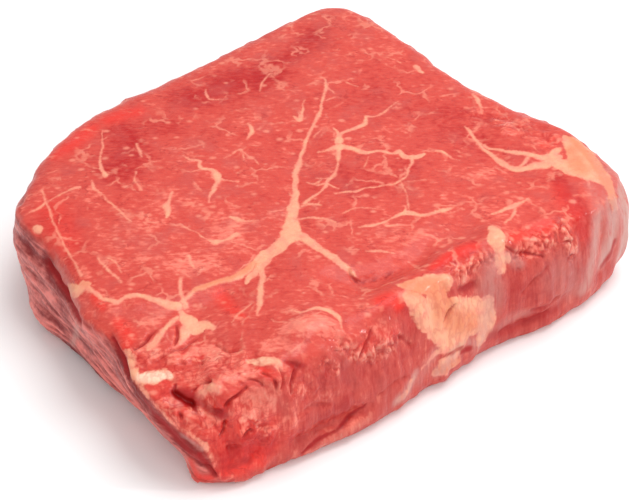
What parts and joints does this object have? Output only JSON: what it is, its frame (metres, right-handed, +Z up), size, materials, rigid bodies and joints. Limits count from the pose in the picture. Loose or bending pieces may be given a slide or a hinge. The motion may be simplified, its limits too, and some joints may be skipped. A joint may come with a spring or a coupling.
{
  "type": "raw rump steak",
  "caption": "Thick raw rump steak: a slab of lean beef with fat seams on its cut face, a fat patch down its front wall and a torn front corner, lying flat.",
  "frame": {"origin": "on the flat resting face, under the middle of the bounding box", "axes": "+Z up through the slab's thickness, +X along its longest side; the lit front wall faces -Y and the dark leaning wall faces -X"},
  "size_m": [0.1536, 0.1324, 0.0345],
  "materials": {
    "raw_beef": "wet lean meat with matt cream-coloured fat seams"
  },
  "bodies": {
    "root": {"steak": "raw_beef"}
  },
  "joints": []
}
